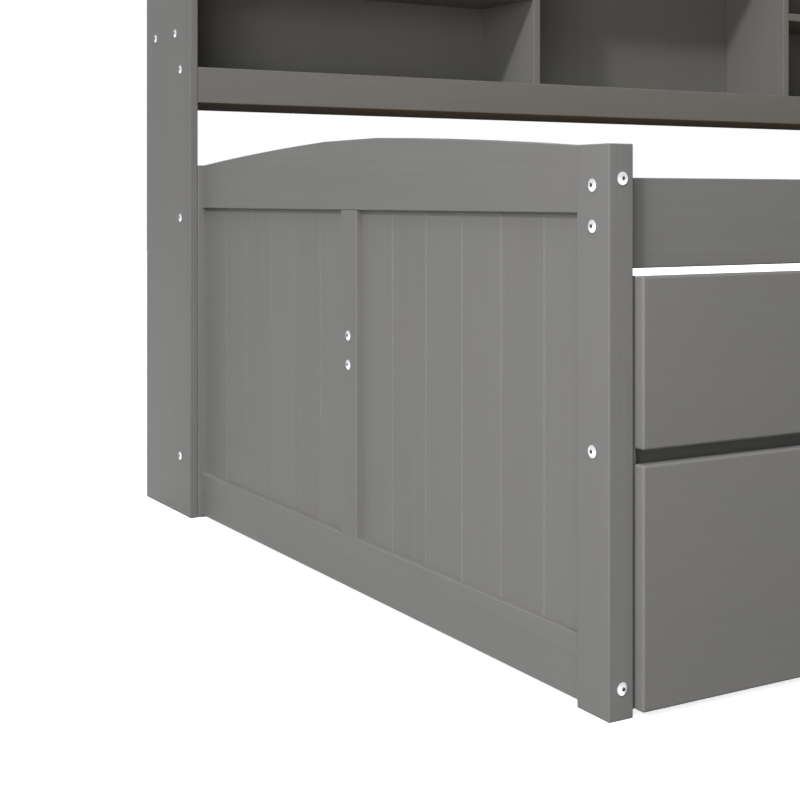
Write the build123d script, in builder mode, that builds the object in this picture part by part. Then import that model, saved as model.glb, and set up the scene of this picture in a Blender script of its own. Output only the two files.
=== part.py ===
from build123d import *
import os

# A captain's bed for a 39 by 75 inch mattress: a panelled end at each side,
# three drawers over a rolling trundle bed, and a bookcase bridge along the back.
# X runs along the bed, -Y is the open front and Z is up from the floor.

# Mattress and the room left round it
mattress_length = 1905
mattress_end_play = 15
mattress_width = 990
mattress_side_play = 60
mattress_recess = 49

# Corner posts
post_thickness = 30
post_width = 52
post_height = 564
edge_round = 1.5

# Rails between the posts
rail_thickness = 18
side_rail_height = 90.5
side_rail_drop = 33
mid_rail_height = 34.5
mid_rail_lap = 8
mid_rail_bolt_drop = 15
rear_rail_inset = 1
lower_rail_bottom = 64
lower_rail_height = 60

# Panelled ends
end_frame_recess = 7
end_frame_thickness = 18
floor_gap = 4
bottom_rail_height = 67
top_rail_height = 68
top_rail_drop = 0.5
arch_rise = 23.5
arch_flat = 140
arch_bow = 2.3
stile_width = 42
beadboard_recess = 8
beadboard_thickness = 6
groove_depth = 8
groove_ease = 0.1
tongue_gap = 1
plank_width = 80.5
plank_tuck = 4
plank_count = 6
bead_width = 3
bead_depth = 1.5

# Fronts, counted up from the floor
trundle_floor_gap = 7
trundle_front_height = 242
front_gap = 14.5
rail_gap = 6.5
front_thickness = 15
front_proud = 11
front_round = 3
front_side_gap = 3.5
stop_width = 7
stop_gap = 1

# Drawers and their runners
drawer_count = 3
drawer_gap = 4
box_inset = 20
box_thickness = 12
box_headroom = 47.5
box_beam_gap = 43
box_lift = 2.5
bottom_thickness = 5
bottom_rise = 10
bottom_groove = 6
runner_gap = 0.3
runner_height = 18
runner_bearing = 24
guide_height = 20
guide_gap = 1

# Beam that carries the rear ends of the runners
beam_height = 110
beam_thickness = 18
beam_lap = 1.7
beam_bolt_inset = 36

# Slats of the bed
slat_count = 13
slat_pitch = 150
slat_width = 70
slat_thickness = 18
slat_end_gap = 1
ledger_size = 22
ledger_end_gap = 10

# Trundle bed
trundle_side_gap = 8
trundle_rear_gap = 21
trundle_board = 12
trundle_board_height = 120
bearer_width = 40
bearer_height = 24
bearer_count = 3
trundle_slat_thickness = 12
trundle_knob_place = 478

# Casters under the trundle
wheel_diameter = 38
wheel_width = 18
wheel_round = 2.5
wheel_top_gap = 5.5
wheel_side_gap = 1
wheel_place = 850
hub_diameter = 14
hub_ring_diameter = 28
hub_depth = 1.5
axle_diameter = 6
axle_ease = 0.05
axle_head = 2
axle_head_diameter = 10
bracket_gauge = 2.5
bracket_plate = 50
bracket_depth = 38
bracket_toe = 16
bracket_screw_place = 18.5

# Tower panels and the bookcase between them
tower_thickness = 13
tower_depth = 200
tower_height = 1100
bookcase_bottom_height = 664.4
shelf_thickness = 15
lip_height = 57.2
lip_setback = 1
lip_thickness = 15
divider_place = 314
divider_setback = 18
side_board = 12
side_setback = 30
mid_shelf_rise = 199.2
back_thickness = 5
back_recess = 7

# Turned knobs
knob_diameter = 32
knob_projection = 25
knob_neck_diameter = 14
knob_neck_height = 6
knob_foot_diameter = 18
knob_rim_height = 15
knob_peg_diameter = 8
knob_peg_length = 10
knob_ease = 0.1

# Bolts, barrel nuts and screws
bolt_diameter = 6
bolt_ease = 0.1
long_bolt = 90
stile_bolt = 60
nut_from_tip = 10
head_diameter = 13
head_height = 2.4
head_rim = 0.9
socket_flats = 4
socket_depth = 2.2
nut_diameter = 10
nut_length = 14
nut_ease = 0.1
thread_ease = 0.02
side_bolt_low = 42.3
side_bolt_high = 82.9
top_bolt_rise = 34.3
bottom_bolt_rise = 27.4
rear_bolt_rise = 39.3
bookcase_screw = 24
bookcase_screw_low = 55.9
bookcase_screw_high = 116.2
bookcase_screw_front = 65
bookcase_screw_rear = 154.5
screw_diameter = 4
screw_head_diameter = 8
screw_head_height = 2.3
screw_ease = 0.05
frame_screw = 35
trundle_screw = 25

# Places along the bed
half_length = (mattress_length + mattress_end_play) / 2 + post_thickness
post_inside = half_length - post_thickness
end_outside = half_length - end_frame_recess
end_inside = end_outside - end_frame_thickness
end_middle = (end_outside + end_inside) / 2
board_outside = end_outside - beadboard_recess
board_inside = board_outside - beadboard_thickness
tower_outside = half_length + tower_thickness

# Places across the bed, with the middle of the whole depth at zero
rail_middle = post_width / 2
rails_apart = mattress_width + mattress_side_play
bed_width = rail_middle + rail_thickness / 2 + rails_apart + rail_thickness + rear_rail_inset
front_reach = front_proud + knob_projection
whole_depth = front_reach + bed_width - post_width + tower_depth
front_face = front_reach - whole_depth / 2
rear_face = front_face + bed_width
front_post = (front_face, front_face + post_width)
rear_post = (rear_face - post_width, rear_face)
front_rail = (front_face + rail_middle - rail_thickness / 2, front_face + rail_middle + rail_thickness / 2)
rear_rail = (rear_face - rear_rail_inset - rail_thickness, rear_face - rear_rail_inset)
front_rail_middle = sum(front_rail) / 2
rear_rail_middle = sum(rear_rail) / 2
stile_middle = (front_post[1] + rear_post[0]) / 2
stile = (stile_middle - stile_width / 2, stile_middle + stile_width / 2)
beam = (stile_middle - beam_thickness / 2, stile_middle + beam_thickness / 2)
tower = (rear_post[0], rear_post[0] + tower_depth)
front_panel = (front_face - front_proud, front_face - front_proud + front_thickness)

# Heights
trundle_front = (trundle_floor_gap, trundle_floor_gap + trundle_front_height)
side_rail = (post_height - side_rail_drop - side_rail_height, post_height - side_rail_drop)
drawer_front = (trundle_front[1] + front_gap, side_rail[0] - rail_gap)
mid_rail = (trundle_front[1] - mid_rail_lap, trundle_front[1] - mid_rail_lap + mid_rail_height)
lower_rail = (lower_rail_bottom, lower_rail_bottom + lower_rail_height)
bottom_rail = (floor_gap, floor_gap + bottom_rail_height)
top_rail = (post_height - top_rail_drop - top_rail_height, post_height - top_rail_drop)
box = (mid_rail[1] + box_lift, side_rail[0] - box_headroom)
runner_top = box[0] - runner_gap
runner_bottom = runner_top - runner_height
beam_level = (runner_bottom - beam_lap, runner_bottom - beam_lap + beam_height)
slat_top = side_rail[1] - mattress_recess
ledger_top = slat_top - slat_thickness
mid_rail_bolt = mid_rail[1] - mid_rail_bolt_drop
side_bolts = (side_rail[0] + side_bolt_low, side_rail[0] + side_bolt_high)
end_bolts = (bottom_rail[0] + bottom_bolt_rise, top_rail[0] + top_bolt_rise)
rear_bolt = side_rail[0] + rear_bolt_rise
lower_rail_bolt = sum(lower_rail) / 2
beam_bolts = (beam_level[0] + beam_bolt_inset, beam_level[1] - beam_bolt_inset)
runner_screw_level = runner_bottom + runner_height / 2

os.makedirs("parts", exist_ok=True)


def at_x(x):
    """Upright plane across the bed, with local axes Y and Z."""
    return Plane.YZ.offset(x)


def at_z(z):
    """Level plane, with local axes X and Y."""
    return Plane.XY.offset(z)


def out_of(x, y, z, direction):
    """Plane at a fastener's head, with its normal pointing out of the wood."""
    return Plane(origin=(x, y, z), z_dir=direction)


def slab(x, y, z, mode=Mode.ADD):
    """Square-cornered board in the open part, from its low and high X, Y and Z."""
    with Locations((x[0], y[0], z[0])):
        Box(x[1] - x[0], y[1] - y[0], z[1] - z[0], align=(Align.MIN, Align.MIN, Align.MIN), mode=mode)


def shank_hole(places, diameter, length):
    """Round holes for shanks, sunk from the heads' planes."""
    with Locations(*places):
        Cylinder(diameter / 2, length, align=(Align.CENTER, Align.CENTER, Align.MAX), mode=Mode.SUBTRACT)


def screw_shape(places, length, ease=0, mode=Mode.ADD):
    """Countersunk wood screws, or their holes when ease is given."""
    with Locations(*places):
        Cylinder(
            screw_diameter / 2 + ease, length, align=(Align.CENTER, Align.CENTER, Align.MAX), mode=mode
        )
        Cone(
            screw_diameter / 2 + ease,
            screw_head_diameter / 2 + ease,
            screw_head_height,
            align=(Align.CENTER, Align.CENTER, Align.MAX),
            mode=mode,
        )


def nut_hole(places, thickness):
    """Blind cross holes for barrel nuts, drilled from the hidden face of a board past the nut."""
    with Locations(*places):
        Cylinder(
            nut_diameter / 2 + nut_ease,
            (thickness + nut_length) / 2,
            align=(Align.CENTER, Align.CENTER, Align.MAX),
            mode=Mode.SUBTRACT,
        )


def finish(piece, name):
    """Label the finished piece and write it."""
    piece.part.label = name
    export_step(piece.part, f"parts/{name}.step")


def finish_pair(piece, name):
    """Write a left-hand piece and its mirror image for the right."""
    finish(piece, f"left_{name}")
    with BuildPart() as other:
        mirror(piece.part, about=Plane.YZ)
    finish(other, f"right_{name}")


def both_ends(places):
    """Fastener places at the left end, and their mirror images at the right end."""
    mirrored = [
        Plane(
            origin=(-place.origin.X, place.origin.Y, place.origin.Z),
            z_dir=(-place.z_dir.X, place.z_dir.Y, place.z_dir.Z),
        )
        for place in places
    ]
    return places + mirrored


# Bolt places, each a plane at the head with its normal pointing outwards
left = (-1, 0, 0)
right = (1, 0, 0)
front = (0, -1, 0)
rear = (0, 1, 0)
up = (0, 0, 1)
down = (0, 0, -1)
front_post_along = [
    out_of(-half_length, front_rail_middle, z, left) for z in (mid_rail_bolt, *side_bolts)
]
front_post_across = [out_of(-end_middle, front_post[0], z, front) for z in end_bolts]
rear_post_across = [out_of(-end_middle, rear_post[1], z, rear) for z in end_bolts]
tower_along = [out_of(-tower_outside, rear_rail_middle, z, left) for z in (lower_rail_bolt, rear_bolt)]
stile_along = [out_of(-end_outside, stile_middle, z, left) for z in beam_bolts]
long_reach = long_bolt - nut_from_tip
stile_reach = stile_bolt - nut_from_tip
front_nuts = (long_reach - half_length, half_length - long_reach)
rear_nuts = (long_reach - tower_outside, tower_outside - long_reach)
beam_nuts = (stile_reach - end_outside, end_outside - stile_reach)
shank_hole_diameter = bolt_diameter + 2 * bolt_ease

# Front posts, grooved for the beadboard on the side that faces the panelled end
groove = (-board_outside - groove_ease, -board_inside + groove_ease)
groove_level = (bottom_rail[1] - groove_depth, top_rail[0] + groove_depth)
with BuildPart() as front_post_part:
    slab((-half_length, -post_inside), front_post, (0, post_height))
    fillet(front_post_part.edges(), edge_round)
    slab(groove, (front_post[1] - groove_depth, front_post[1]), groove_level, Mode.SUBTRACT)
    shank_hole(front_post_along, shank_hole_diameter, post_thickness)
    shank_hole(front_post_across, shank_hole_diameter, post_width)
finish_pair(front_post_part, "front_post")

# Rear posts, inside the tower panels
with BuildPart() as rear_post_part:
    slab((-half_length, -post_inside), rear_post, (0, post_height))
    fillet(rear_post_part.edges(), edge_round)
    slab(groove, (rear_post[0], rear_post[0] + groove_depth), groove_level, Mode.SUBTRACT)
    shank_hole(tower_along, shank_hole_diameter, tower_thickness + post_thickness)
    shank_hole(rear_post_across, shank_hole_diameter, post_width)
finish_pair(rear_post_part, "rear_post")

# Top rails of the panelled ends, with a flat-topped arch
arch_top = top_rail[1] + arch_rise
arch_middle = (top_rail[1] + arch_top) / 2 + arch_bow
flat_front = stile_middle - arch_flat / 2
flat_rear = stile_middle + arch_flat / 2
with BuildPart() as top_rail_part:
    with BuildSketch(at_x(-end_outside)):
        with BuildLine():
            Polyline(
                (front_post[1], top_rail[1]),
                (front_post[1], top_rail[0]),
                (rear_post[0], top_rail[0]),
                (rear_post[0], top_rail[1]),
            )
            ThreePointArc(
                (rear_post[0], top_rail[1]),
                ((rear_post[0] + flat_rear) / 2, arch_middle),
                (flat_rear, arch_top),
            )
            Line((flat_rear, arch_top), (flat_front, arch_top))
            ThreePointArc(
                (flat_front, arch_top),
                ((front_post[1] + flat_front) / 2, arch_middle),
                (front_post[1], top_rail[1]),
            )
        make_face()
    extrude(amount=end_frame_thickness)
    outlines = top_rail_part.edges().filter_by(Axis.X, reverse=True).filter_by(Axis.Z, reverse=True)
    fillet(outlines, edge_round)
    slab(groove, (front_post[1], rear_post[0]), (top_rail[0], top_rail[0] + groove_depth), Mode.SUBTRACT)
    shank_hole(front_post_across + rear_post_across, shank_hole_diameter, long_bolt)
    nut_hole(
        [
            out_of(-end_inside, front_post[0] + long_reach, end_bolts[1], right),
            out_of(-end_inside, rear_post[1] - long_reach, end_bolts[1], right),
        ],
        end_frame_thickness,
    )
finish_pair(top_rail_part, "end_top_rail")

# Bottom rails of the panelled ends
with BuildPart() as bottom_rail_part:
    slab((-end_outside, -end_inside), (front_post[1], rear_post[0]), bottom_rail)
    fillet(bottom_rail_part.edges().filter_by(Axis.Y), edge_round)
    slab(
        groove,
        (front_post[1], rear_post[0]),
        (bottom_rail[1] - groove_depth, bottom_rail[1]),
        Mode.SUBTRACT,
    )
    shank_hole(front_post_across + rear_post_across, shank_hole_diameter, long_bolt)
    nut_hole(
        [
            out_of(-end_inside, front_post[0] + long_reach, end_bolts[0], right),
            out_of(-end_inside, rear_post[1] - long_reach, end_bolts[0], right),
        ],
        end_frame_thickness,
    )
finish_pair(bottom_rail_part, "end_bottom_rail")

# Centre stiles, grooved on both sides, with a stub tenon at each end
tongue = groove_depth - tongue_gap
with BuildPart() as stile_part:
    slab((-end_outside, -end_inside), stile, (bottom_rail[1], top_rail[0]))
    fillet(stile_part.edges().filter_by(Axis.Z), edge_round)
    slab(
        (-board_outside, -board_inside),
        (stile[0] + groove_depth, stile[1] - groove_depth),
        (bottom_rail[1] - tongue, top_rail[0] + tongue),
    )
    for side in ((stile[0], stile[0] + groove_depth), (stile[1] - groove_depth, stile[1])):
        slab(groove, side, (bottom_rail[1], top_rail[0]), Mode.SUBTRACT)
    shank_hole(stile_along, shank_hole_diameter, end_frame_thickness)
finish_pair(stile_part, "end_center_stile")

# Beadboards, two to an end, held in the grooves all round
bays = ((front_post[1], stile[0]), (stile[1], rear_post[0]))
with BuildPart() as beadboard_part:
    for bay in bays:
        slab(
            (-board_outside, -board_inside),
            (bay[0] - tongue, bay[1] + tongue),
            (bottom_rail[1] - tongue, top_rail[0] + tongue),
        )
    for bay in bays:
        for bead in range(1, plank_count):
            bead_middle = bay[0] - plank_tuck + bead * plank_width
            with BuildSketch(at_z(bottom_rail[1] - tongue)):
                with BuildLine():
                    Polyline(
                        (-board_outside, bead_middle - bead_width / 2),
                        (-board_outside, bead_middle + bead_width / 2),
                        (-board_outside + bead_depth, bead_middle),
                        close=True,
                    )
                make_face()
            extrude(amount=top_rail[0] - bottom_rail[1] + 2 * tongue, mode=Mode.SUBTRACT)
finish_pair(beadboard_part, "end_beadboards")


# Drawer and runner places along the bed
drawer_width = (2 * (post_inside - front_side_gap) - (drawer_count - 1) * drawer_gap) / drawer_count
drawer_middles = [
    (number - (drawer_count - 1) / 2) * (drawer_width + drawer_gap) for number in range(drawer_count)
]
runner_middles = [
    (number - drawer_count / 2) * (drawer_width + drawer_gap) for number in range(1, drawer_count)
]
runner_length = (front_rail[1], beam[0])
end_runner = box_inset + front_side_gap - guide_gap
guide_half = box_inset + drawer_gap / 2 - guide_gap
base_half = guide_half + guide_gap + runner_bearing
end_runner_base = end_runner + guide_gap + runner_bearing
runner_screw_places = [-post_inside + end_runner_base / 2, *runner_middles, post_inside - end_runner_base / 2]

# Wood screw places in the fixed frame
slat_places = [(number - (slat_count - 1) / 2) * slat_pitch for number in range(slat_count)]
ledger_screw_places = [place + slat_pitch / 2 for place in slat_places[:-1]]
ledger = (ledger_top - ledger_size, ledger_top)
ledger_level = ledger_top - ledger_size / 2
front_ledger = (front_rail[1], front_rail[1] + ledger_size)
rear_ledger = (rear_rail[0] - ledger_size, rear_rail[0])
slat_screws = [out_of(x, sum(y) / 2, slat_top, up) for x in slat_places for y in (front_ledger, rear_ledger)]
front_ledger_screws = [out_of(x, front_ledger[1], ledger_level, rear) for x in ledger_screw_places]
rear_ledger_screws = [out_of(x, rear_ledger[0], ledger_level, front) for x in ledger_screw_places]
front_runner_screws = [out_of(x, front_rail[0], runner_screw_level, front) for x in runner_screw_places]
rear_runner_screws = [out_of(x, beam[1], runner_screw_level, rear) for x in runner_screw_places]

# Front side rail, bolted twice at each end
with BuildPart() as front_side_rail:
    slab((-post_inside, post_inside), front_rail, side_rail)
    fillet(front_side_rail.edges().filter_by(Axis.X), edge_round)
    shank_hole(both_ends(front_post_along), shank_hole_diameter, long_bolt)
    nut_hole([out_of(x, front_rail[1], z, rear) for x in front_nuts for z in side_bolts], rail_thickness)
    screw_shape(front_ledger_screws, frame_screw, screw_ease, Mode.SUBTRACT)
finish(front_side_rail, "front_side_rail")

# Rear side rail, bolted through the tower panels and the rear posts
with BuildPart() as rear_side_rail:
    slab((-post_inside, post_inside), rear_rail, side_rail)
    fillet(rear_side_rail.edges().filter_by(Axis.X), edge_round)
    shank_hole(both_ends(tower_along), shank_hole_diameter, long_bolt)
    nut_hole([out_of(x, rear_rail[0], rear_bolt, front) for x in rear_nuts], rail_thickness)
    screw_shape(rear_ledger_screws, frame_screw, screw_ease, Mode.SUBTRACT)
finish(rear_side_rail, "rear_side_rail")

# Rear lower rail, which keeps the tower panels from spreading
with BuildPart() as rear_lower_rail:
    slab((-post_inside, post_inside), rear_rail, lower_rail)
    fillet(rear_lower_rail.edges().filter_by(Axis.X), edge_round)
    shank_hole(both_ends(tower_along), shank_hole_diameter, long_bolt)
    nut_hole([out_of(x, rear_rail[0], lower_rail_bolt, front) for x in rear_nuts], rail_thickness)
finish(rear_lower_rail, "rear_lower_rail")

# Front mid rail, in the dark gap between the drawers and the trundle
with BuildPart() as front_mid_rail:
    slab((-post_inside, post_inside), front_rail, mid_rail)
    fillet(front_mid_rail.edges().filter_by(Axis.X), edge_round)
    shank_hole(both_ends(front_post_along), shank_hole_diameter, long_bolt)
    nut_hole([out_of(x, front_rail[1], mid_rail_bolt, rear) for x in front_nuts], rail_thickness)
    screw_shape(front_runner_screws, frame_screw, screw_ease, Mode.SUBTRACT)
finish(front_mid_rail, "front_mid_rail")

# Stop laths on the posts, which close the gap beside the fronts
with BuildPart() as front_stops:
    slab(
        (-post_inside, stop_width - post_inside),
        (front_panel[1] + stop_gap, front_rail[0]),
        (trundle_front[0], drawer_front[1]),
    )
    mirror(about=Plane.YZ)
finish(front_stops, "front_stops")

# Centre beam, hung between the two centre stiles
with BuildPart() as center_beam:
    slab((-end_inside, end_inside), beam, beam_level)
    fillet(center_beam.edges().filter_by(Axis.X), edge_round)
    shank_hole(both_ends(stile_along), shank_hole_diameter, stile_bolt)
    nut_hole([out_of(x, beam[1], z, rear) for x in beam_nuts for z in beam_bolts], beam_thickness)
    screw_shape(rear_runner_screws, frame_screw, screw_ease, Mode.SUBTRACT)
finish(center_beam, "center_beam")

# Ledgers screwed to the side rails, with a pilot hole for each slat screw
with BuildPart() as slat_ledgers:
    for ledger_depth in (front_ledger, rear_ledger):
        slab((ledger_end_gap - post_inside, post_inside - ledger_end_gap), ledger_depth, ledger)
    ledger_screws = front_ledger_screws + rear_ledger_screws
    screw_shape(ledger_screws + slat_screws, frame_screw, screw_ease, Mode.SUBTRACT)
finish(slat_ledgers, "slat_ledgers")

# Slats across the bed
with BuildPart() as bed_slats:
    for slat_middle in slat_places:
        slab(
            (slat_middle - slat_width / 2, slat_middle + slat_width / 2),
            (front_rail[1] + slat_end_gap, rear_rail[0] - slat_end_gap),
            (ledger_top, slat_top),
        )
    fillet(bed_slats.edges().filter_by(Axis.Y), edge_round)
    screw_shape(slat_screws, frame_screw, screw_ease, Mode.SUBTRACT)
finish(bed_slats, "bed_slats")

# Drawer runners: a flat bearing strip with a guide rib between the drawer boxes
with BuildPart() as drawer_runners:
    slab((-post_inside, end_runner_base - post_inside), runner_length, (runner_bottom, runner_top))
    slab((-post_inside, end_runner - post_inside), runner_length, (runner_top, runner_top + guide_height))
    mirror(about=Plane.YZ)
    for runner in runner_middles:
        slab((runner - base_half, runner + base_half), runner_length, (runner_bottom, runner_top))
        slab(
            (runner - guide_half, runner + guide_half),
            runner_length,
            (runner_top, runner_top + guide_height),
        )
    screw_shape(front_runner_screws + rear_runner_screws, frame_screw, screw_ease, Mode.SUBTRACT)
finish(drawer_runners, "drawer_runners")

# Wood screws of the frame
with BuildPart() as wood_screws:
    screw_shape(slat_screws + ledger_screws, frame_screw)
    screw_shape(front_runner_screws + rear_runner_screws, frame_screw)
finish(wood_screws, "wood_screws")

# Tower panels, which stand on the floor outside the rear posts
side_board_outside = half_length
side_board_inside = half_length - side_board
bookcase_levels = (
    bookcase_bottom_height + bookcase_screw_low,
    bookcase_bottom_height + bookcase_screw_high,
)
bookcase_screws_along = [
    out_of(-tower_outside, rear_rail_middle, bookcase_levels[0], left),
    out_of(-tower_outside, tower[0] + bookcase_screw_front, bookcase_levels[1], left),
    out_of(-tower_outside, tower[0] + bookcase_screw_rear, bookcase_levels[1], left),
]
with BuildPart() as tower_panel:
    slab((-tower_outside, -half_length), tower, (0, tower_height))
    fillet(tower_panel.edges(), edge_round)
    shank_hole(tower_along + bookcase_screws_along, shank_hole_diameter, tower_thickness)
finish_pair(tower_panel, "tower_panel")

# Bookcase side boards, screwed to the tower panels
bookcase_floor = bookcase_bottom_height + shelf_thickness
bookcase_ceiling = tower_height - shelf_thickness
back_front = tower[1] - back_recess - back_thickness
shelf_front = tower[0] + divider_setback
lip_depth = (tower[0] + lip_setback, tower[0] + lip_setback + lip_thickness)
with BuildPart() as bookcase_side:
    slab(
        (-side_board_outside, -side_board_inside),
        (tower[0] + side_setback, back_front),
        (bookcase_floor, bookcase_ceiling),
    )
    fillet(bookcase_side.edges().filter_by(Axis.Z), edge_round)
    shank_hole(bookcase_screws_along, shank_hole_diameter, bookcase_screw)
finish_pair(bookcase_side, "bookcase_side")

# Bookcase bottom board and the lip along its front
with BuildPart() as bookcase_bottom:
    slab((-half_length, half_length), (lip_depth[1], back_front), (bookcase_bottom_height, bookcase_floor))
finish(bookcase_bottom, "bookcase_bottom")

with BuildPart() as bookcase_front_lip:
    slab(
        (-half_length, half_length),
        lip_depth,
        (bookcase_bottom_height, bookcase_bottom_height + lip_height),
    )
    fillet(bookcase_front_lip.edges().filter_by(Axis.X), edge_round)
finish(bookcase_front_lip, "bookcase_front_lip")

# Bookcase top board
with BuildPart() as bookcase_top:
    slab((-half_length, half_length), (lip_depth[0], tower[1]), (bookcase_ceiling, tower_height))
    fillet(bookcase_top.edges().filter_by(Axis.X), edge_round)
finish(bookcase_top, "bookcase_top")

# Two dividers make three columns
with BuildPart() as bookcase_dividers:
    slab(
        (-divider_place - shelf_thickness / 2, -divider_place + shelf_thickness / 2),
        (shelf_front, back_front),
        (bookcase_floor, bookcase_ceiling),
    )
    fillet(bookcase_dividers.edges().filter_by(Axis.Z), edge_round)
    mirror(about=Plane.YZ)
finish(bookcase_dividers, "bookcase_dividers")

# A mid shelf in each outer column
mid_shelf = bookcase_floor + mid_shelf_rise
with BuildPart() as bookcase_mid_shelves:
    slab(
        (-side_board_inside, -divider_place - shelf_thickness / 2),
        (shelf_front, back_front),
        (mid_shelf, mid_shelf + shelf_thickness),
    )
    fillet(bookcase_mid_shelves.edges().filter_by(Axis.X), edge_round)
    mirror(about=Plane.YZ)
finish(bookcase_mid_shelves, "bookcase_mid_shelves")

# Back panel behind the bottom board, the dividers and the shelves
with BuildPart() as bookcase_back_panel:
    slab(
        (-half_length, half_length),
        (back_front, back_front + back_thickness),
        (bookcase_bottom_height, bookcase_ceiling),
    )
finish(bookcase_back_panel, "bookcase_back_panel")


def domed_bolt(length):
    """One bolt along -Z from its head: a low dome with a hexagon socket, on a plain shank."""
    with BuildPart() as bolt:
        with BuildSketch(Plane.XZ):
            with BuildLine():
                Polyline(
                    (0, head_height),
                    (0, -length),
                    (bolt_diameter / 2, -length),
                    (bolt_diameter / 2, 0),
                    (head_diameter / 2, 0),
                    (head_diameter / 2, head_rim),
                )
                TangentArc((0, head_height), (head_diameter / 2, head_rim), tangent=(1, 0))
            make_face()
        revolve(axis=Axis.Z)
        with BuildSketch(Plane.XY.offset(head_height)):
            RegularPolygon(socket_flats / 2, 6, major_radius=False)
        extrude(amount=-socket_depth, mode=Mode.SUBTRACT)
    return bolt.part


def placed_copies(pattern, places):
    """Copies of one fastener at many places, in the open part."""
    with Locations(*places):
        add(pattern)


# Long bolts of the posts and towers, short ones of the stiles, and the bookcase's screws
with BuildPart() as long_bolts:
    placed_copies(domed_bolt(long_bolt), both_ends(front_post_along + front_post_across))
    placed_copies(domed_bolt(long_bolt), both_ends(rear_post_across + tower_along))
finish(long_bolts, "long_bolts")

with BuildPart() as stile_bolts:
    placed_copies(domed_bolt(stile_bolt), both_ends(stile_along))
finish(stile_bolts, "stile_bolts")

with BuildPart() as bookcase_screws:
    placed_copies(domed_bolt(bookcase_screw), both_ends(bookcase_screws_along))
finish(bookcase_screws, "bookcase_screws")

# Barrel nuts, each a short rod across its bolt
with BuildPart() as nut_pattern:
    Cylinder(nut_diameter / 2, nut_length)
    Cylinder(bolt_diameter / 2 + thread_ease, nut_diameter, rotation=(0, 90, 0), mode=Mode.SUBTRACT)


def nut(x, y, z, along, across):
    """Barrel nut place: local X runs along the bolt and local Z along the nut."""
    return Plane(origin=(x, y, z), x_dir=along, z_dir=across)


end_middles = (-end_middle, end_middle)
end_nut_depths = (front_post[0] + long_reach, rear_post[1] - long_reach)
nut_places = (
    [nut(x, front_rail_middle, z, right, rear) for x in front_nuts for z in (mid_rail_bolt, *side_bolts)]
    + [nut(x, rear_rail_middle, z, right, rear) for x in rear_nuts for z in (lower_rail_bolt, rear_bolt)]
    + [nut(x, stile_middle, z, right, rear) for x in beam_nuts for z in beam_bolts]
    + [nut(x, y, z, rear, right) for x in end_middles for y in end_nut_depths for z in end_bolts]
)
with BuildPart() as barrel_nuts:
    placed_copies(nut_pattern.part, nut_places)
finish(barrel_nuts, "barrel_nuts")


def turned_knob():
    """A turned knob along Z with its peg below the origin: waisted neck and domed head."""
    with BuildPart() as knob:
        with BuildSketch(Plane.XZ):
            with BuildLine():
                Polyline(
                    (0, knob_projection),
                    (0, -knob_peg_length),
                    (knob_peg_diameter / 2, -knob_peg_length),
                    (knob_peg_diameter / 2, 0),
                    (knob_foot_diameter / 2, 0),
                )
                ThreePointArc(
                    (knob_foot_diameter / 2, 0),
                    (knob_neck_diameter / 2, knob_neck_height),
                    (knob_diameter / 2, knob_rim_height),
                )
                TangentArc((0, knob_projection), (knob_diameter / 2, knob_rim_height), tangent=(1, 0))
            make_face()
        revolve(axis=Axis.Z)
    return knob.part


# Drawers, each a front with its knob on a box with a bottom let into grooves
drawer_names = ("left", "middle", "right")
box_inside = (front_panel[1], beam[0] - box_beam_gap)
bottom_level = (box[0] + bottom_rise, box[0] + bottom_rise + bottom_thickness)
for drawer_name, drawer_middle in zip(drawer_names, drawer_middles):
    front_ends = (drawer_middle - drawer_width / 2, drawer_middle + drawer_width / 2)
    box_ends = (front_ends[0] + box_inset, front_ends[1] - box_inset)
    inner_ends = (box_ends[0] + box_thickness, box_ends[1] - box_thickness)
    back_ends = (inner_ends[0] + groove_ease, inner_ends[1] - groove_ease)
    bottom_ends = (inner_ends[0] - bottom_groove, inner_ends[1] + bottom_groove)
    bottom_depth = (box_inside[0] - bottom_groove, box_inside[1])
    bottom_slot = (bottom_level[0] - groove_ease, bottom_level[1] + groove_ease)
    slot_ends = (bottom_ends[0] - tongue_gap, bottom_ends[1] + tongue_gap)
    slot_depth = (bottom_depth[0] - tongue_gap, bottom_depth[1])
    knob_place = out_of(drawer_middle, front_panel[0], sum(drawer_front) / 2, front)

    with BuildPart() as drawer_front_part:
        slab(front_ends, front_panel, drawer_front)
        fillet(drawer_front_part.edges(), front_round)
        slab(slot_ends, slot_depth, bottom_slot, Mode.SUBTRACT)
        shank_hole([knob_place], knob_peg_diameter + 2 * knob_ease, knob_peg_length + tongue_gap)
    finish(drawer_front_part, f"{drawer_name}_drawer_front")

    with BuildPart() as drawer_walls:
        slab((box_ends[0], inner_ends[0]), box_inside, box)
        slab((inner_ends[1], box_ends[1]), box_inside, box)
        slab(slot_ends, slot_depth, bottom_slot, Mode.SUBTRACT)
        slab(back_ends, (box_inside[1] - box_thickness, box_inside[1]), (bottom_slot[1], box[1]))
    finish(drawer_walls, f"{drawer_name}_drawer_walls")

    with BuildPart() as drawer_bottom:
        slab(bottom_ends, bottom_depth, bottom_level)
    finish(drawer_bottom, f"{drawer_name}_drawer_bottom")

    with BuildPart() as drawer_knob:
        placed_copies(turned_knob(), [knob_place])
    finish(drawer_knob, f"{drawer_name}_drawer_knob")

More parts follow.
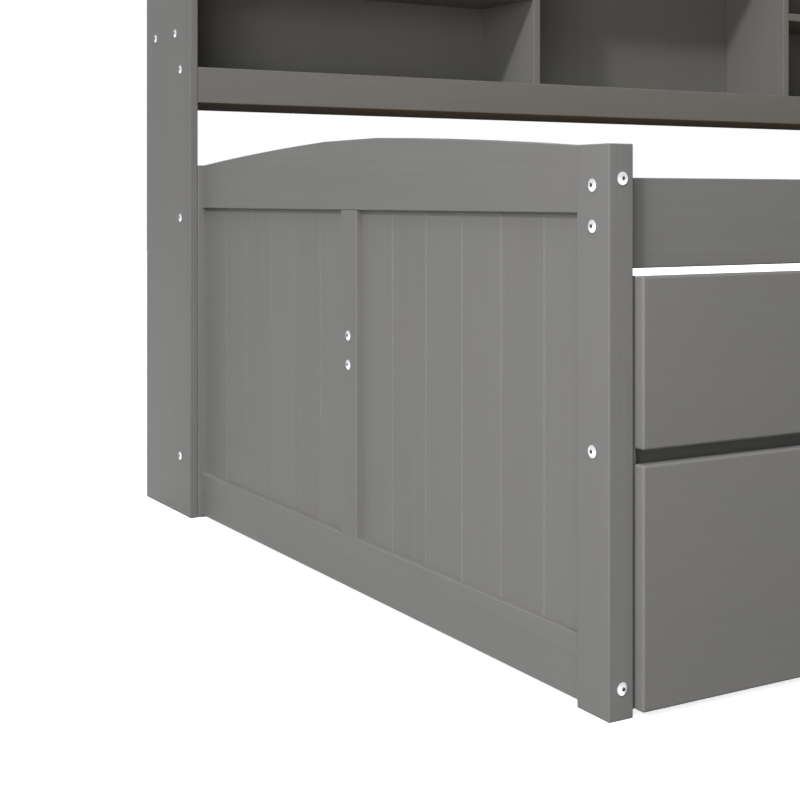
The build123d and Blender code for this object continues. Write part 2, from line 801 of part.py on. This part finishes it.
# Trundle bed: front, two end rails and a back rail round three bearers
trundle_outside = post_inside - trundle_side_gap
trundle_inside = trundle_outside - trundle_board
trundle_depth = (front_panel[1], rear_rail[0] - trundle_rear_gap)
trundle_hollow = (trundle_depth[0], trundle_depth[1] - trundle_board)
bearer_bottom = wheel_diameter + wheel_top_gap + bracket_gauge
bearer_top = bearer_bottom + bearer_height
trundle_slat_top = bearer_top + trundle_slat_thickness
trundle_boards = (bearer_bottom, bearer_bottom + trundle_board_height)
bearer_span = trundle_hollow[1] - trundle_hollow[0] - bearer_width
bearer_places = [
    trundle_hollow[0] + bearer_width / 2 + number * bearer_span / (bearer_count - 1)
    for number in range(bearer_count)
]
trundle_knob_level = sum(trundle_front) / 2
trundle_knob_places = [
    out_of(x, front_panel[0], trundle_knob_level, front) for x in (-trundle_knob_place, trundle_knob_place)
]
wheel_axis_level = wheel_diameter / 2
wheel_ends = (-wheel_place, wheel_place)
wheel_depths = (bearer_places[0], bearer_places[-1])
trundle_slat_screws = [out_of(x, y, trundle_slat_top, up) for x in slat_places for y in bearer_places]
bracket_screws = [
    out_of(x + offset, y, bearer_bottom - bracket_gauge, down)
    for x in wheel_ends
    for y in wheel_depths
    for offset in (-bracket_screw_place, bracket_screw_place)
]

with BuildPart() as trundle_front_part:
    slab((front_side_gap - post_inside, post_inside - front_side_gap), front_panel, trundle_front)
    fillet(trundle_front_part.edges(), front_round)
    shank_hole(trundle_knob_places, knob_peg_diameter + 2 * knob_ease, knob_peg_length + tongue_gap)
finish(trundle_front_part, "trundle_front")

with BuildPart() as trundle_end_rails:
    slab((-trundle_outside, -trundle_inside), trundle_depth, trundle_boards)
    fillet(trundle_end_rails.edges().filter_by(Axis.Y), edge_round)
    mirror(about=Plane.YZ)
finish(trundle_end_rails, "trundle_end_rails")

with BuildPart() as trundle_back_rail:
    slab((-trundle_inside, trundle_inside), (trundle_hollow[1], trundle_depth[1]), trundle_boards)
    fillet(trundle_back_rail.edges().filter_by(Axis.X), edge_round)
finish(trundle_back_rail, "trundle_back_rail")

with BuildPart() as trundle_bearers:
    for bearer in bearer_places:
        slab(
            (-trundle_inside, trundle_inside),
            (bearer - bearer_width / 2, bearer + bearer_width / 2),
            (bearer_bottom, bearer_top),
        )
    screw_shape(trundle_slat_screws + bracket_screws, trundle_screw, screw_ease, Mode.SUBTRACT)
finish(trundle_bearers, "trundle_bearers")

with BuildPart() as trundle_slats:
    for slat_middle in slat_places:
        slab(
            (slat_middle - slat_width / 2, slat_middle + slat_width / 2),
            (trundle_hollow[0] + slat_end_gap, trundle_hollow[1] - slat_end_gap),
            (bearer_top, trundle_slat_top),
        )
    fillet(trundle_slats.edges().filter_by(Axis.Y), edge_round)
    screw_shape(trundle_slat_screws, trundle_screw, screw_ease, Mode.SUBTRACT)
finish(trundle_slats, "trundle_slats")

with BuildPart() as trundle_screws:
    screw_shape(trundle_slat_screws + bracket_screws, trundle_screw)
finish(trundle_screws, "trundle_screws")

with BuildPart() as trundle_knobs:
    placed_copies(turned_knob(), trundle_knob_places)
finish(trundle_knobs, "trundle_knobs")

# Fixed casters: a folded steel bracket, a riveted axle and a wheel
cheek_inside = wheel_width / 2 + wheel_side_gap
cheek_outside = cheek_inside + bracket_gauge
plate_bottom = bearer_bottom - bracket_gauge
with BuildPart() as caster_bracket:
    slab(
        (-bracket_plate / 2, bracket_plate / 2),
        (-bracket_depth / 2, bracket_depth / 2),
        (plate_bottom, bearer_bottom),
    )
    for cheek in (-cheek_outside, cheek_inside):
        with BuildSketch(at_x(cheek)):
            with BuildLine():
                Polyline(
                    (-bracket_toe / 2, wheel_axis_level),
                    (-bracket_depth / 2, plate_bottom),
                    (bracket_depth / 2, plate_bottom),
                    (bracket_toe / 2, wheel_axis_level),
                )
                ThreePointArc(
                    (bracket_toe / 2, wheel_axis_level),
                    (0, wheel_axis_level - bracket_toe / 2),
                    (-bracket_toe / 2, wheel_axis_level),
                )
            make_face()
        extrude(amount=bracket_gauge)
    with BuildSketch(at_x(-cheek_outside)):
        with Locations((0, wheel_axis_level)):
            Circle(axle_diameter / 2)
    extrude(amount=2 * cheek_outside, mode=Mode.SUBTRACT)

caster_places = [Location((x, y, 0)) for x in wheel_ends for y in wheel_depths]
with BuildPart() as caster_brackets:
    placed_copies(caster_bracket.part, caster_places)
    screw_shape(bracket_screws, trundle_screw, screw_ease, Mode.SUBTRACT)
finish(caster_brackets, "caster_brackets")

with BuildPart() as caster_axle:
    with BuildSketch(at_x(-cheek_outside - axle_head)):
        with Locations((0, wheel_axis_level)):
            Circle(axle_head_diameter / 2)
    extrude(amount=axle_head)
    with BuildSketch(at_x(cheek_outside)):
        with Locations((0, wheel_axis_level)):
            Circle(axle_head_diameter / 2)
    extrude(amount=axle_head)
    with BuildSketch(at_x(-cheek_outside)):
        with Locations((0, wheel_axis_level)):
            Circle(axle_diameter / 2)
    extrude(amount=2 * cheek_outside)

with BuildPart() as caster_axles:
    placed_copies(caster_axle.part, caster_places)
finish(caster_axles, "caster_axles")

with BuildPart() as caster_wheel:
    with BuildSketch(at_x(-wheel_width / 2)):
        with Locations((0, wheel_axis_level)):
            Circle(wheel_diameter / 2)
    extrude(amount=wheel_width)
    fillet(caster_wheel.edges().filter_by(GeomType.CIRCLE), wheel_round)
    for hub_face in (-wheel_width / 2, wheel_width / 2 - hub_depth):
        with BuildSketch(at_x(hub_face)):
            with Locations((0, wheel_axis_level)):
                Circle(hub_ring_diameter / 2)
                Circle(hub_diameter / 2, mode=Mode.SUBTRACT)
        extrude(amount=hub_depth, mode=Mode.SUBTRACT)
    with BuildSketch(at_x(-wheel_width / 2)):
        with Locations((0, wheel_axis_level)):
            Circle(axle_diameter / 2 + axle_ease)
    extrude(amount=wheel_width, mode=Mode.SUBTRACT)

for wheel_name, wheel_x, wheel_y in (
    ("front_left_wheel", wheel_ends[0], wheel_depths[0]),
    ("front_right_wheel", wheel_ends[1], wheel_depths[0]),
    ("rear_left_wheel", wheel_ends[0], wheel_depths[1]),
    ("rear_right_wheel", wheel_ends[1], wheel_depths[1]),
):
    with BuildPart() as placed_wheel:
        placed_copies(caster_wheel.part, [Location((wheel_x, wheel_y, 0))])
    finish(placed_wheel, wheel_name)
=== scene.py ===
import math

import bpy
import numpy as np
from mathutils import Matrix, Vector

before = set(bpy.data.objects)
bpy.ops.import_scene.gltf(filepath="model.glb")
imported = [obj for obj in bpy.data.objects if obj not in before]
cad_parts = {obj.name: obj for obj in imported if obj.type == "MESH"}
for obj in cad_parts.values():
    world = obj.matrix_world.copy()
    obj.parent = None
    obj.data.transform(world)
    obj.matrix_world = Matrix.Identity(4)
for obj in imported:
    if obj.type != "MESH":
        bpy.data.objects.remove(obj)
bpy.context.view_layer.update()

# Camera
# Stands level, half a metre off the floor, a metre in front of the bed and left of its end,
# turned 30 degrees towards the right, and its frame is shifted down to take in the floor.
camera_place = (-1.869, -1.7228, 0.509)
camera_yaw = math.radians(30.03)
camera_lens = 65.115
camera_shift = -0.2504

camera_data = bpy.data.cameras.new("camera")
camera_data.lens = camera_lens
camera_data.sensor_width = 36
camera_data.shift_y = camera_shift
camera_data.clip_end = 50
camera = bpy.data.objects.new("camera", camera_data)
camera.location = camera_place
camera.rotation_euler = (math.radians(90), 0, -camera_yaw)
bpy.context.scene.collection.objects.link(camera)
bpy.context.scene.camera = camera
bpy.context.scene.view_settings.view_transform = "Standard"


# Studio
# A white sweep of floor, one hard lamp high on the left and broad soft ones round it.
# The bed stands on the floor and keeps its shadow there.
def linear(colour):
    """Linear red, green, blue and alpha of an sRGB hex colour."""
    parts = np.array([int(colour[i : i + 2], 16) for i in (1, 3, 5)]) / 255
    low = parts / 12.92
    high = ((parts + 0.055) / 1.055) ** 2.4
    return (*np.where(parts <= 0.04045, low, high).tolist(), 1.0)


def add_node(tree, kind, values=None, links=None, **settings):
    """A shader node with its settings, its input values and the outputs that feed it."""
    added = tree.nodes.new(kind)
    for name, value in settings.items():
        setattr(added, name, value)
    for socket, value in (values or {}).items():
        added.inputs[socket].default_value = value
    for socket, source in (links or {}).items():
        tree.links.new(source, added.inputs[socket])
    return added


def seen_directly(tree):
    """1 for camera, glossy and transmitted rays, and 0 for the light that falls on the bed."""
    path = add_node(tree, "ShaderNodeLightPath")
    seen = add_node(
        tree,
        "ShaderNodeMath",
        links={0: path.outputs["Is Camera Ray"], 1: path.outputs["Is Glossy Ray"]},
        operation="MAXIMUM",
    )
    return add_node(
        tree,
        "ShaderNodeMath",
        links={0: seen.outputs[0], 1: path.outputs["Is Transmission Ray"]},
        operation="MAXIMUM",
    ).outputs[0]


def lamp(name, kind, place, energy, size):
    """A lamp that points at the middle of the bed."""
    data = bpy.data.lights.new(name, kind)
    data.energy = energy
    if kind == "SUN":
        data.angle = size
    else:
        data.shape = "SQUARE"
        data.size = size
    made = bpy.data.objects.new(name, data)
    made.location = place
    aim = aim_point - Vector(place)
    made.rotation_euler = aim.to_track_quat("-Z", "Y").to_euler()
    bpy.context.scene.collection.objects.link(made)
    return made


white = "#ffffff"
ambient_strength = 0.04
key_energy = 1.1
high_energy = 1.35
near_energy = 30
back_energy = 2.0
left_energy = 8
sun_distance = 3
key_angle = math.radians(4)
high_angle = math.radians(26)
back_angle = math.radians(40)
near_place = (-2.6, -1.8, 0.9)
near_size = 1.5
left_place = (-3.2, -1.0, 1.6)
left_size = 2.0
floor_glow_strength = 0.8
floor_paper_grey = "#505050"

world = bpy.data.worlds.new("studio")
bpy.context.scene.world = world
world.use_nodes = True
world.node_tree.nodes.clear()
ambient = add_node(world.node_tree, "ShaderNodeBackground", {"Strength": ambient_strength})
ambient.inputs["Color"].default_value = linear(white)
backdrop = add_node(
    world.node_tree, "ShaderNodeBackground", {"Color": linear(white), "Strength": 1.0}
)
mixed = add_node(
    world.node_tree,
    "ShaderNodeMixShader",
    links={0: seen_directly(world.node_tree), 1: ambient.outputs[0], 2: backdrop.outputs[0]},
)
add_node(world.node_tree, "ShaderNodeOutputWorld", links={"Surface": mixed.outputs[0]})

aim_point = Vector((0, 0, 0.5))
key_direction = Vector((-0.709, -0.410, 0.574))
high_direction = Vector((-0.250, -0.433, 0.866))
back_direction = Vector((0.610, 0.620, 0.490))
lamp("key", "SUN", aim_point + sun_distance * key_direction, key_energy, key_angle)
lamp("high_softbox", "SUN", aim_point + sun_distance * high_direction, high_energy, high_angle)
lamp("back_softbox", "SUN", aim_point + sun_distance * back_direction, back_energy, back_angle)
lamp("near_softbox", "AREA", near_place, near_energy, near_size)
lamp("left_softbox", "AREA", left_place, left_energy, left_size)

floor_size = 24.0
floor_corners = np.array([(-1, -1), (1, -1), (1, 1), (-1, 1)]) * floor_size / 2
floor_mesh = bpy.data.meshes.new("floor")
floor_mesh.from_pydata([(x, y, 0.0) for x, y in floor_corners.tolist()], [], [(0, 1, 2, 3)])
floor = bpy.data.objects.new("floor", floor_mesh)
bpy.context.scene.collection.objects.link(floor)

floor_finish = bpy.data.materials.new("white_sweep")
floor_finish.use_nodes = True
floor_tree = floor_finish.node_tree
floor_tree.nodes.clear()
floor_paper = add_node(
    floor_tree, "ShaderNodeBsdfDiffuse", {"Color": linear(floor_paper_grey), "Roughness": 1.0}
)
floor_glow = add_node(
    floor_tree, "ShaderNodeEmission", {"Color": linear(white), "Strength": floor_glow_strength}
)
floor_sheet = add_node(floor_tree, "ShaderNodeBsdfDiffuse", {"Color": linear(white)})
floor_white = add_node(
    floor_tree,
    "ShaderNodeAddShader",
    links={0: floor_glow.outputs[0], 1: floor_sheet.outputs[0]},
)
floor_mixed = add_node(
    floor_tree,
    "ShaderNodeMixShader",
    links={0: seen_directly(floor_tree), 1: floor_paper.outputs[0], 2: floor_white.outputs[0]},
)
add_node(floor_tree, "ShaderNodeOutputMaterial", links={"Surface": floor_mixed.outputs[0]})
floor_mesh.materials.append(floor_finish)

# Corner posts
# Four posts of solid pine, arrises eased by hand, sprayed in satin grey lacquer.
# The grain of the pine telegraphs through the lacquer as faint upright streaks.
mm = 0.001
lacquer_grey = "#848482"
lacquer_deep = "#807f7d"
lacquer_warm = "#83817f"
fine_edge = math.radians(30)


def board_space(tree, along, size_along, size_across):
    """Object coordinates in grains: one is size_along mm on the board's axis, else size_across mm."""
    place = add_node(tree, "ShaderNodeTexCoord").outputs["Object"]
    sizes = [size_across * mm] * 3
    sizes["xyz".index(along)] = size_along * mm
    return add_node(
        tree, "ShaderNodeMapping", {"Scale": tuple(1 / size for size in sizes)}, {"Vector": place}
    ).outputs[0]


def noise(tree, space, detail=2.0, roughness=0.5):
    """Smooth noise from 0 to 1 in a space that has one unit to a feature."""
    return add_node(
        tree,
        "ShaderNodeTexNoise",
        {"Scale": 1.0, "Detail": detail, "Roughness": roughness},
        {"Vector": space},
    ).outputs["Fac"]


def spread(tree, source, low, high, start=0.3, end=0.7):
    """Source from start to end, mapped to low to high and held there beyond."""
    return add_node(
        tree,
        "ShaderNodeMapRange",
        {"From Min": start, "From Max": end, "To Min": low, "To Max": high},
        {"Value": source},
    ).outputs[0]


def blend_colours(tree, factor, first, second):
    """Colour that goes from first to second, each a hex colour or a node's output."""
    mixer = add_node(tree, "ShaderNodeMix", data_type="RGBA")
    tree.links.new(factor, mixer.inputs["Factor"])
    for socket, colour in ((mixer.inputs[6], first), (mixer.inputs[7], second)):
        if isinstance(colour, str):
            socket.default_value = linear(colour)
        else:
            tree.links.new(colour, socket)
    return mixer.outputs[2]


def new_finish(name, **sockets):
    """An empty material with a shader, its plain values set on the shader's own sockets."""
    made = bpy.data.materials.new(name)
    made.use_nodes = True
    surface = made.node_tree.nodes["Principled BSDF"]
    for socket, value in sockets.items():
        surface.inputs[socket.replace("_", " ")].default_value = value
    return made, made.node_tree, surface


def add_relief(tree, surface, height, depth_mm):
    """Bump of the given depth from a height of 0 to 1."""
    settings = {"Distance": depth_mm * mm, "Strength": 1.0}
    bump = add_node(tree, "ShaderNodeBump", settings, {"Height": height})
    tree.links.new(bump.outputs[0], surface.inputs["Normal"])


def satin_lacquer(name, along, streak=1.0, gloss=0.1):
    """Sprayed satin lacquer: grain streaks 5 mm apart, 300 mm long, and 2.5 mm orange peel."""
    made, tree, surface = new_finish(name, IOR=1.5, Specular_IOR_Level=gloss)
    grain = noise(tree, board_space(tree, along, 300, 5), 4.0, 0.55)
    cloud = noise(tree, board_space(tree, along, 220, 90), 1.0)
    peel = noise(tree, board_space(tree, along, 2.5, 2.5), 1.0)
    shade = add_node(
        tree, "ShaderNodeMath", {1: 1 - streak}, {0: spread(tree, grain, 0, 1)}, operation="SUBTRACT"
    )
    shade.use_clamp = True
    tone = blend_colours(tree, shade.outputs[0], lacquer_deep, lacquer_grey)
    warm = blend_colours(tree, spread(tree, cloud, 0, 0.35), tone, lacquer_warm)
    tree.links.new(warm, surface.inputs["Base Color"])
    tree.links.new(spread(tree, peel, 0.40, 0.50), surface.inputs["Roughness"])
    relief = add_node(tree, "ShaderNodeMath", {1: 0.6}, {0: grain, 2: peel}, operation="MULTIPLY_ADD")
    add_relief(tree, surface, relief.outputs[0], 0.03)
    return made


def dress(names, finish):
    """Give CAD nodes their finish, and shade them smooth between edges sharper than fine_edge."""
    for name in names:
        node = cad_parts[name]
        node.data.materials.clear()
        node.data.materials.append(finish)
        node.data.polygons.foreach_set("use_smooth", np.ones(len(node.data.polygons), bool))
        weld = node.modifiers.new("weld", "WELD")
        weld.merge_threshold = 0.01 * mm
        split = node.modifiers.new("split", "EDGE_SPLIT")
        split.split_angle = fine_edge
        split.use_edge_sharp = False


upright_lacquer = satin_lacquer("satin_grey_lacquer_upright_pine", "z")
dress(
    ["left_front_post", "right_front_post", "left_rear_post", "right_rear_post"],
    upright_lacquer,
)

# Panelled ends
# Two rails and a centre stile hold beadboard in their grooves; all of it is pine, glued
# and then sprayed, so that each plank keeps a slightly different tone under the lacquer.
plank_step = 80.5
front_bay = -560.0
rear_bay = -39.0
bay_parting = -56.0
plank_light = "#878683"

crossing_lacquer = satin_lacquer("satin_grey_lacquer_end_rails", "y")
dress(["left_end_top_rail", "right_end_top_rail"], crossing_lacquer)
dress(["left_end_bottom_rail", "right_end_bottom_rail"], crossing_lacquer)
dress(["left_end_center_stile", "right_end_center_stile"], upright_lacquer)


def plank_lacquer(name):
    """Satin lacquer whose tone changes from plank to plank, by the plank's number across the end."""
    made = satin_lacquer(name, "z", 0.9)
    tree = made.node_tree
    surface = tree.nodes["Principled BSDF"]
    place = add_node(tree, "ShaderNodeTexCoord").outputs["Object"]
    across = add_node(tree, "ShaderNodeSeparateXYZ", links={0: place}).outputs["Y"]
    in_rear = add_node(
        tree, "ShaderNodeMath", {1: bay_parting * mm}, {0: across}, operation="GREATER_THAN"
    ).outputs[0]
    start = spread(tree, in_rear, front_bay * mm, rear_bay * mm, 0, 1)
    offset = add_node(tree, "ShaderNodeMath", links={0: across, 1: start}, operation="SUBTRACT")
    count = add_node(
        tree, "ShaderNodeMath", {1: plank_step * mm}, {0: offset.outputs[0]}, operation="DIVIDE"
    )
    number = add_node(tree, "ShaderNodeMath", links={0: count.outputs[0]}, operation="FLOOR")
    seed = add_node(
        tree, "ShaderNodeMath", {1: 17.0}, {0: in_rear, 2: number.outputs[0]}, operation="MULTIPLY_ADD"
    )
    chance = add_node(
        tree, "ShaderNodeTexWhiteNoise", links={"W": seed.outputs[0]}, noise_dimensions="1D"
    ).outputs["Value"]
    before = surface.inputs["Base Color"].links[0].from_socket
    lighter = blend_colours(tree, spread(tree, chance, 0, 0.5, 0, 1), before, plank_light)
    tree.links.new(lighter, surface.inputs["Base Color"])
    return made


dress(
    ["left_end_beadboards", "right_end_beadboards"],
    plank_lacquer("satin_grey_lacquer_beadboard"),
)

# Long rails and beam
# Pine boards between the ends, bolted to the posts, with their grain along the bed.
# They carry the same sprayed lacquer as the posts.
long_lacquer = satin_lacquer("satin_grey_lacquer_long_boards", "x")
dress(["front_side_rail", "rear_side_rail", "front_mid_rail"], long_lacquer)
dress(["front_stops"], upright_lacquer)
dress(["rear_lower_rail", "center_beam"], long_lacquer)

# Ledgers, runners and slats
# Planed pine left bare, because it is hidden under the mattress and in the drawers.
# Pale early wood between darker late wood rings, with a few knots, and a dull planed face.
early_wood = "#d9bd8f"
late_wood = "#c09562"
fibre_wood = "#a97c4c"
knot_wood = "#7d5230"


def planed_pine(name, along):
    """Bare planed pine: wandering rings 7 mm apart, fibres 0.6 mm wide and a few knots."""
    made, tree, surface = new_finish(name, IOR=1.5)
    wander = noise(tree, board_space(tree, along, 900, 60), 2.0)
    turns = add_node(tree, "ShaderNodeMath", {1: 9.0}, {0: wander}, operation="MULTIPLY")
    ring = add_node(tree, "ShaderNodeMath", links={0: turns.outputs[0]}, operation="FRACT").outputs[0]
    fibre = noise(tree, board_space(tree, along, 40, 0.6), 3.0, 0.6)
    knots = add_node(
        tree,
        "ShaderNodeTexVoronoi",
        {"Scale": 1.0},
        {"Vector": board_space(tree, along, 260, 110)},
    ).outputs["Distance"]
    rings = blend_colours(tree, spread(tree, ring, 0, 1, 0.25, 0.95), early_wood, late_wood)
    fibres = blend_colours(tree, spread(tree, fibre, 0, 0.35), rings, fibre_wood)
    wood = blend_colours(tree, spread(tree, knots, 0.85, 0, 0.05, 0.13), fibres, knot_wood)
    tree.links.new(wood, surface.inputs["Base Color"])
    tree.links.new(spread(tree, fibre, 0.52, 0.68), surface.inputs["Roughness"])
    add_relief(tree, surface, fibre, 0.05)
    return made


long_pine = planed_pine("planed_pine_along_bed", "x")
cross_pine = planed_pine("planed_pine_across_bed", "y")
dress(["slat_ledgers"], long_pine)
dress(["drawer_runners", "bed_slats"], cross_pine)

# Towers and bookcase
# Flat boards of fibreboard and pine ply, sprayed with the same lacquer and screwed together.
# Sanded flat before spraying, so they show orange peel and little grain.
long_panel = satin_lacquer("flat_grey_lacquer_shelf_boards", "x", 0.9, 0.0)
upright_panel = satin_lacquer("satin_grey_lacquer_upright_boards", "z", 0.6)
dress(["left_tower_panel", "right_tower_panel"], upright_panel)
dress(
    ["left_bookcase_side", "right_bookcase_side", "bookcase_dividers", "bookcase_back_panel"],
    upright_panel,
)
dress(
    ["bookcase_bottom", "bookcase_front_lip", "bookcase_top", "bookcase_mid_shelves"],
    long_panel,
)

# Bolts, screws and barrel nuts
# Cold-headed steel with a bright zinc plate, barrel-polished, so it mirrors the white room.
# Every bolt has a low dome with a hexagon socket and draws down on a barrel nut.
zinc_scuff = "#c9ccd0"
zinc_shadow = "#2c2d2f"


def zinc_plate(name, colour, roughness):
    """Zinc plate with 1.5 mm scuffs from the barrel, and painted shade in recesses up to 4 mm wide."""
    made, tree, surface = new_finish(name, Metallic=1.0)
    scuff = noise(tree, board_space(tree, "z", 1.5, 1.5), 3.0)
    tone = blend_colours(tree, spread(tree, scuff, 0, 1), colour, zinc_scuff)
    # Painted shade: an ambient-occlusion mask turns the zinc near-black in sockets and where heads
    # meet the wood.
    painted_recess_shade_mask = add_node(
        tree, "ShaderNodeAmbientOcclusion", {"Distance": 4 * mm}, samples=8
    ).outputs["AO"]
    zinc_with_painted_recess_shade = blend_colours(tree, spread(tree, painted_recess_shade_mask, 0, 1, 0.25, 0.8), zinc_shadow, tone)
    tree.links.new(zinc_with_painted_recess_shade, surface.inputs["Base Color"])
    tree.links.new(spread(tree, scuff, roughness, roughness + 0.12), surface.inputs["Roughness"])
    add_relief(tree, surface, scuff, 0.01)
    return made


bright_zinc = zinc_plate("bright_zinc_plate", "#e6e8ea", 0.28)
dress(["long_bolts", "stile_bolts", "bookcase_screws", "barrel_nuts"], bright_zinc)
dress(["wood_screws", "trundle_screws"], bright_zinc)

# Drawers
# A lacquered fibreboard front with rounded edges, on a bare pine box with a plywood bottom
# let into grooves, and a turned pine knob pegged into the middle of the front.
drawers = ("left", "middle", "right")
front_lacquer = satin_lacquer("satin_grey_lacquer_fronts", "x", 0.5)
ply_pale = "#dcc59d"
ply_figure = "#cbaa7c"
ply_pore = "#a5835a"


def birch_ply(name):
    """Rotary-cut birch plywood: broad pale figure 60 mm wide and fine pores 8 mm long."""
    made, tree, surface = new_finish(name, IOR=1.5)
    figure = noise(tree, board_space(tree, "x", 500, 45), 3.0, 0.55)
    pores = noise(tree, board_space(tree, "x", 8, 0.5), 2.0)
    base = blend_colours(tree, spread(tree, figure, 0, 1), ply_pale, ply_figure)
    wood = blend_colours(tree, spread(tree, pores, 0, 0.3, 0.45, 0.75), base, ply_pore)
    tree.links.new(wood, surface.inputs["Base Color"])
    tree.links.new(spread(tree, pores, 0.5, 0.62), surface.inputs["Roughness"])
    add_relief(tree, surface, pores, 0.04)
    return made


ply = birch_ply("birch_plywood")
dress([f"{name}_drawer_front" for name in drawers], front_lacquer)
dress([f"{name}_drawer_knob" for name in drawers], upright_lacquer)
dress([f"{name}_drawer_walls" for name in drawers], cross_pine)
dress([f"{name}_drawer_bottom" for name in drawers], ply)

# Trundle bed
# A low box on wheels: lacquered front, ends and back round three pine bearers and thirteen
# bare slats, screwed down, with two knobs like those of the drawers.
dress(["trundle_front", "trundle_back_rail"], front_lacquer)
dress(["trundle_end_rails"], crossing_lacquer)
dress(["trundle_bearers"], long_pine)
dress(["trundle_slats"], cross_pine)
dress(["trundle_knobs"], upright_lacquer)

# Casters
# A folded and pressed steel bracket with a riveted axle, and a moulded nylon wheel.
# The bracket is dull zinc, the wheel dark grey with a fine moulded grain.
nylon_dark = "#26272a"
nylon_pale = "#303136"

def moulded_nylon(name):
    """Moulded nylon: dark, slightly glossy, with spark-eroded grain 0.5 mm across."""
    made, tree, surface = new_finish(name, IOR=1.53)
    grain = noise(tree, board_space(tree, "z", 0.5, 0.5), 2.0)
    cloud = noise(tree, board_space(tree, "z", 20, 20), 1.0)
    tone = blend_colours(tree, spread(tree, cloud, 0, 1), nylon_dark, nylon_pale)
    tree.links.new(tone, surface.inputs["Base Color"])
    tree.links.new(spread(tree, grain, 0.38, 0.52), surface.inputs["Roughness"])
    add_relief(tree, surface, grain, 0.02)
    return made


dull_zinc = zinc_plate("dull_zinc_pressing", "#b4b7ba", 0.42)
nylon = moulded_nylon("moulded_grey_nylon")
wheels = ["front_left_wheel", "front_right_wheel", "rear_left_wheel", "rear_right_wheel"]
dress(["caster_brackets", "caster_axles"], dull_zinc)
dress(wheels, nylon)
